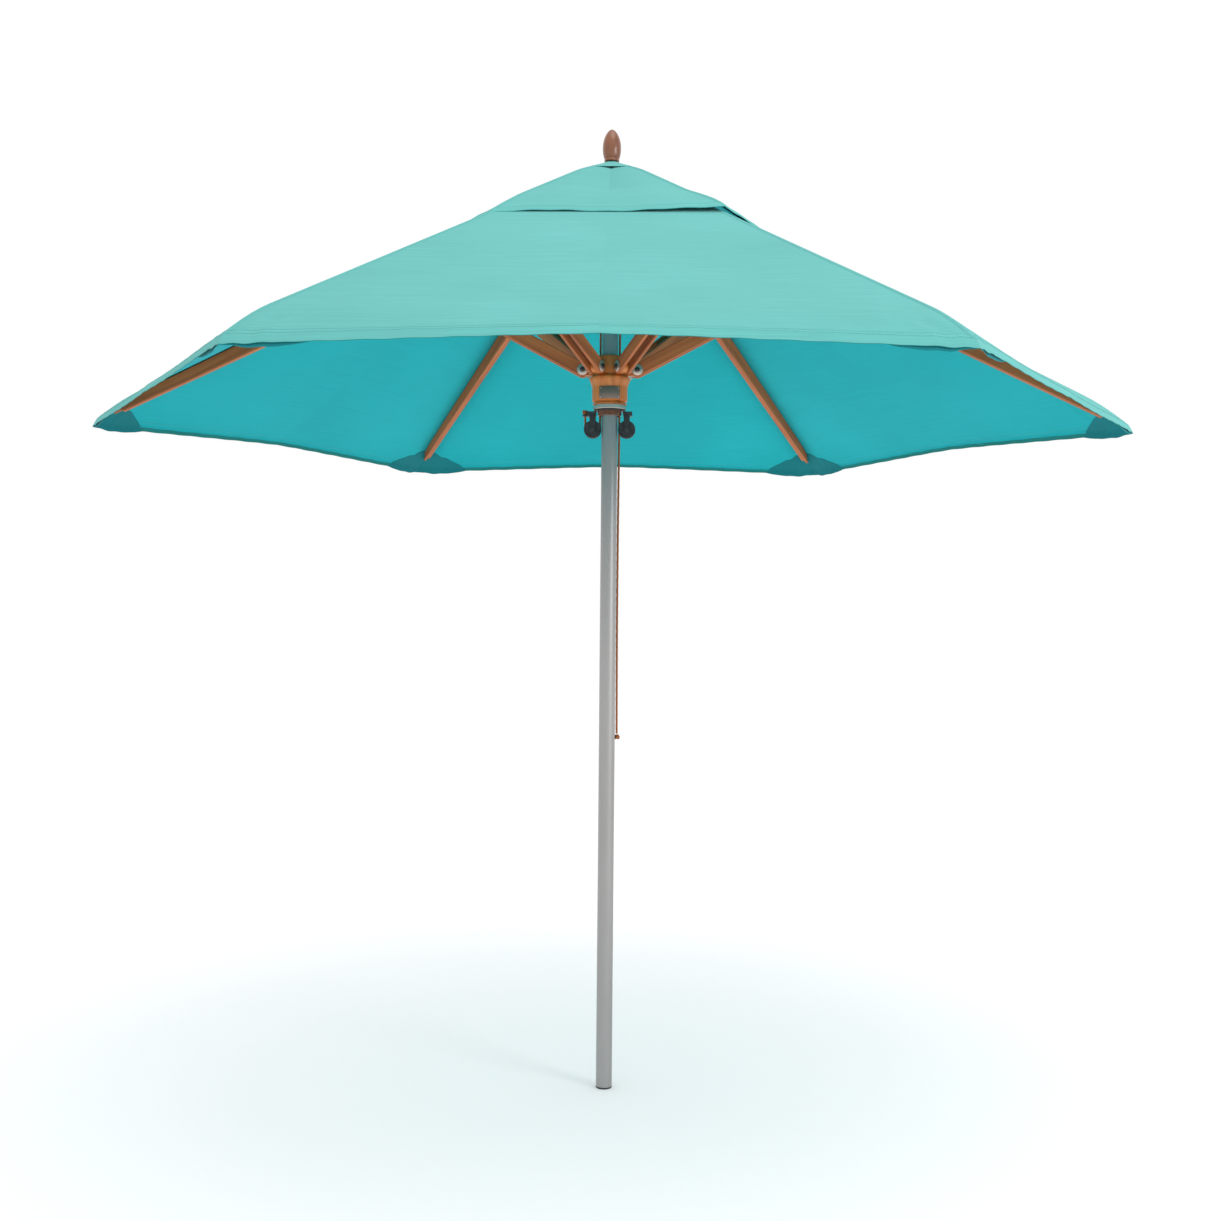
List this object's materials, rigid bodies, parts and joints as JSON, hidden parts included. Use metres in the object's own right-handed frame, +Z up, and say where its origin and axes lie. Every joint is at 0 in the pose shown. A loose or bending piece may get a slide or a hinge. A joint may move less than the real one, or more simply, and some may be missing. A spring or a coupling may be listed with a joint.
{
  "type": "market umbrella",
  "caption": "Hexagonal market umbrella: straight aluminium pole, folding wooden ribs and stretchers, pulley lift, vented cloth canopy.",
  "frame": {"origin": "centre of the pole's foot, on its flat underside", "axes": "+Z up the pole, +X along the rib numbered 0, so that -Y faces a flat edge of the canopy"},
  "size_m": [2.7426, 2.3756, 2.523],
  "materials": {
    "pole_aluminium": "satin",
    "steel_fittings": "satin",
    "rib_wood": "oiled",
    "runner_wood": "varnished",
    "finial_wood": "gloss varnished",
    "canopy_cloth": "matte woven",
    "black_nylon": "moulded",
    "lift_rope": "braided",
    "label_metal": "blank plate"
  },
  "bodies": {
    "root": {"pole_tube": "pole_aluminium", "pole_foot_plug": "black_nylon", "pole_top_plug": "rib_wood", "top_hub": "rib_wood", "rib_hinge_ring": "steel_fittings", "finial": "finial_wood", "finial_stud": "steel_fittings", "vent_crown": "canopy_cloth"},
    "rib_0": {"rib_0": "rib_wood", "vent_0": "canopy_cloth"},
    "strut_0": {"stretcher_0": "rib_wood", "rib_pin_0": "steel_fittings"},
    "rib_1": {"rib_1": "rib_wood", "vent_1": "canopy_cloth"},
    "strut_1": {"stretcher_1": "rib_wood", "rib_pin_1": "steel_fittings"},
    "rib_2": {"rib_2": "rib_wood", "vent_2": "canopy_cloth"},
    "strut_2": {"stretcher_2": "rib_wood", "rib_pin_2": "steel_fittings"},
    "rib_3": {"rib_3": "rib_wood", "vent_3": "canopy_cloth"},
    "strut_3": {"stretcher_3": "rib_wood", "rib_pin_3": "steel_fittings"},
    "rib_4": {"rib_4": "rib_wood", "vent_4": "canopy_cloth"},
    "strut_4": {"stretcher_4": "rib_wood", "rib_pin_4": "steel_fittings"},
    "rib_5": {"rib_5": "rib_wood", "vent_5": "canopy_cloth"},
    "strut_5": {"stretcher_5": "rib_wood", "rib_pin_5": "steel_fittings"},
    "runner": {"runner": "runner_wood", "runner_collar": "steel_fittings", "runner_sleeve": "black_nylon", "label_plate": "label_metal", "runner_bolt_0": "steel_fittings", "runner_bolt_1": "steel_fittings", "runner_bolt_2": "steel_fittings", "runner_bolt_3": "steel_fittings", "runner_bolt_4": "steel_fittings", "runner_bolt_5": "steel_fittings", "pulley_block": "black_nylon", "lift_rope_upper": "lift_rope", "rope_tail": "lift_rope", "rope_knot": "lift_rope"},
    "sheave_left": {"sheave_left": "black_nylon"},
    "sheave_right": {"sheave_right": "black_nylon"},
    "flap_0a": {"canopy_0a": "canopy_cloth"},
    "flap_0b": {"canopy_0b": "canopy_cloth"},
    "flap_1a": {"canopy_1a": "canopy_cloth"},
    "flap_1b": {"canopy_1b": "canopy_cloth"},
    "flap_2a": {"canopy_2a": "canopy_cloth"},
    "flap_2b": {"canopy_2b": "canopy_cloth"},
    "flap_3a": {"canopy_3a": "canopy_cloth"},
    "flap_3b": {"canopy_3b": "canopy_cloth"},
    "flap_4a": {"canopy_4a": "canopy_cloth"},
    "flap_4b": {"canopy_4b": "canopy_cloth"},
    "flap_5a": {"canopy_5a": "canopy_cloth"},
    "flap_5b": {"canopy_5b": "canopy_cloth"}
  },
  "joints": [
    {"name": "canopy_fold", "type": "hinge", "parent": "root", "child": "rib_0", "pos_m": [0.072, 0, 2.385], "axis": [0, 1, 0], "range_deg": [0, 60], "deforming": ["vent_0", "vent_1", "vent_2", "vent_3", "vent_4", "vent_5"]},
    {"name": "rib_1_hinge", "type": "hinge", "parent": "root", "child": "rib_1", "pos_m": [0.036, 0.06235, 2.385], "axis": [-0.866, 0.5, 0], "range_deg": [0, 60]},
    {"name": "rib_2_hinge", "type": "hinge", "parent": "root", "child": "rib_2", "pos_m": [-0.036, 0.06235, 2.385], "axis": [-0.866, -0.5, 0], "range_deg": [0, 60]},
    {"name": "rib_3_hinge", "type": "hinge", "parent": "root", "child": "rib_3", "pos_m": [-0.072, 0, 2.385], "axis": [0, -1, 0], "range_deg": [0, 60]},
    {"name": "rib_4_hinge", "type": "hinge", "parent": "root", "child": "rib_4", "pos_m": [-0.036, -0.06235, 2.385], "axis": [0.866, -0.5, 0], "range_deg": [0, 60]},
    {"name": "rib_5_hinge", "type": "hinge", "parent": "root", "child": "rib_5", "pos_m": [0.036, -0.06235, 2.385], "axis": [0.866, 0.5, 0], "range_deg": [0, 60]},
    {"name": "stretcher_0_pivot", "type": "hinge", "parent": "rib_0", "child": "strut_0", "pos_m": [0.54, 0, 2.13616], "axis": [0, 1, 0], "range_deg": [-120, 0]},
    {"name": "stretcher_1_pivot", "type": "hinge", "parent": "rib_1", "child": "strut_1", "pos_m": [0.27, 0.46765, 2.13616], "axis": [-0.866, 0.5, 0], "range_deg": [-120, 0]},
    {"name": "stretcher_2_pivot", "type": "hinge", "parent": "rib_2", "child": "strut_2", "pos_m": [-0.27, 0.46765, 2.13616], "axis": [-0.866, -0.5, 0], "range_deg": [-120, 0]},
    {"name": "stretcher_3_pivot", "type": "hinge", "parent": "rib_3", "child": "strut_3", "pos_m": [-0.54, 0, 2.13616], "axis": [0, -1, 0], "range_deg": [-120, 0]},
    {"name": "stretcher_4_pivot", "type": "hinge", "parent": "rib_4", "child": "strut_4", "pos_m": [-0.27, -0.46765, 2.13616], "axis": [0.866, -0.5, 0], "range_deg": [-120, 0]},
    {"name": "stretcher_5_pivot", "type": "hinge", "parent": "rib_5", "child": "strut_5", "pos_m": [0.27, -0.46765, 2.13616], "axis": [0.866, 0.5, 0], "range_deg": [-120, 0]},
    {"name": "runner_travel", "type": "hinge", "parent": "strut_0", "child": "runner", "pos_m": [0.072, 0, 1.88732], "axis": [0, 1, 0], "range_deg": [0, 60]},
    {"name": "sheave_left_spin", "type": "hinge", "parent": "runner", "child": "sheave_left", "pos_m": [-0.045, 0.014, 1.734], "axis": [0, 1, 0], "continuous": true},
    {"name": "sheave_right_spin", "type": "hinge", "parent": "runner", "child": "sheave_right", "pos_m": [0.045, 0.014, 1.734], "axis": [0, 1, 0], "continuous": true},
    {"name": "cloth_0a_fold", "type": "hinge", "parent": "rib_0", "child": "flap_0a", "pos_m": [0.9, 0, 1.99725], "axis": [0.8963, -0.0434, -0.4414], "range_deg": [0, 65.89], "deforming": ["canopy_0a"]},
    {"name": "cloth_0b_fold", "type": "hinge", "parent": "rib_0", "child": "flap_0b", "pos_m": [0.9, 0, 1.99725], "axis": [-0.8963, -0.0434, 0.4414], "range_deg": [0, 65.89], "deforming": ["canopy_0b"]},
    {"name": "cloth_1a_fold", "type": "hinge", "parent": "rib_1", "child": "flap_1a", "pos_m": [0.45, 0.77942, 1.99725], "axis": [0.4857, 0.7545, -0.4414], "range_deg": [0, 65.89], "deforming": ["canopy_1a"]},
    {"name": "cloth_1b_fold", "type": "hinge", "parent": "rib_1", "child": "flap_1b", "pos_m": [0.45, 0.77942, 1.99725], "axis": [-0.4106, -0.7979, 0.4414], "range_deg": [0, 65.89], "deforming": ["canopy_1b"]},
    {"name": "cloth_2a_fold", "type": "hinge", "parent": "rib_2", "child": "flap_2a", "pos_m": [-0.45, 0.77942, 1.99725], "axis": [-0.4106, 0.7979, -0.4414], "range_deg": [0, 65.89], "deforming": ["canopy_2a"]},
    {"name": "cloth_2b_fold", "type": "hinge", "parent": "rib_2", "child": "flap_2b", "pos_m": [-0.45, 0.77942, 1.99725], "axis": [0.4857, -0.7545, 0.4414], "range_deg": [0, 65.89], "deforming": ["canopy_2b"]},
    {"name": "cloth_3a_fold", "type": "hinge", "parent": "rib_3", "child": "flap_3a", "pos_m": [-0.9, 0, 1.99725], "axis": [-0.8963, 0.0434, -0.4414], "range_deg": [0, 65.89], "deforming": ["canopy_3a"]},
    {"name": "cloth_3b_fold", "type": "hinge", "parent": "rib_3", "child": "flap_3b", "pos_m": [-0.9, 0, 1.99725], "axis": [0.8963, 0.0434, 0.4414], "range_deg": [0, 65.89], "deforming": ["canopy_3b"]},
    {"name": "cloth_4a_fold", "type": "hinge", "parent": "rib_4", "child": "flap_4a", "pos_m": [-0.45, -0.77942, 1.99725], "axis": [-0.4857, -0.7545, -0.4414], "range_deg": [0, 65.89], "deforming": ["canopy_4a"]},
    {"name": "cloth_4b_fold", "type": "hinge", "parent": "rib_4", "child": "flap_4b", "pos_m": [-0.45, -0.77942, 1.99725], "axis": [0.4106, 0.7979, 0.4414], "range_deg": [0, 65.89], "deforming": ["canopy_4b"]},
    {"name": "cloth_5a_fold", "type": "hinge", "parent": "rib_5", "child": "flap_5a", "pos_m": [0.45, -0.77942, 1.99725], "axis": [0.4106, -0.7979, -0.4414], "range_deg": [0, 65.89], "deforming": ["canopy_5a"]},
    {"name": "cloth_5b_fold", "type": "hinge", "parent": "rib_5", "child": "flap_5b", "pos_m": [0.45, -0.77942, 1.99725], "axis": [-0.4857, 0.7545, 0.4414], "range_deg": [0, 65.89], "deforming": ["canopy_5b"]}
  ],
  "couplings": [
    {"joint": "rib_1_hinge", "follows": "canopy_fold", "ratio": 1},
    {"joint": "rib_2_hinge", "follows": "canopy_fold", "ratio": 1},
    {"joint": "rib_3_hinge", "follows": "canopy_fold", "ratio": 1},
    {"joint": "rib_4_hinge", "follows": "canopy_fold", "ratio": 1},
    {"joint": "rib_5_hinge", "follows": "canopy_fold", "ratio": 1},
    {"joint": "stretcher_0_pivot", "follows": "canopy_fold", "ratio": -2},
    {"joint": "stretcher_1_pivot", "follows": "canopy_fold", "ratio": -2},
    {"joint": "stretcher_2_pivot", "follows": "canopy_fold", "ratio": -2},
    {"joint": "stretcher_3_pivot", "follows": "canopy_fold", "ratio": -2},
    {"joint": "stretcher_4_pivot", "follows": "canopy_fold", "ratio": -2},
    {"joint": "stretcher_5_pivot", "follows": "canopy_fold", "ratio": -2},
    {"joint": "runner_travel", "follows": "canopy_fold", "ratio": 1},
    {"joint": "cloth_0a_fold", "follows": "canopy_fold", "ratio": 1.098},
    {"joint": "cloth_0b_fold", "follows": "canopy_fold", "ratio": 1.098},
    {"joint": "cloth_1a_fold", "follows": "canopy_fold", "ratio": 1.098},
    {"joint": "cloth_1b_fold", "follows": "canopy_fold", "ratio": 1.098},
    {"joint": "cloth_2a_fold", "follows": "canopy_fold", "ratio": 1.098},
    {"joint": "cloth_2b_fold", "follows": "canopy_fold", "ratio": 1.098},
    {"joint": "cloth_3a_fold", "follows": "canopy_fold", "ratio": 1.098},
    {"joint": "cloth_3b_fold", "follows": "canopy_fold", "ratio": 1.098},
    {"joint": "cloth_4a_fold", "follows": "canopy_fold", "ratio": 1.098},
    {"joint": "cloth_4b_fold", "follows": "canopy_fold", "ratio": 1.098},
    {"joint": "cloth_5a_fold", "follows": "canopy_fold", "ratio": 1.098},
    {"joint": "cloth_5b_fold", "follows": "canopy_fold", "ratio": 1.098}
  ]
}
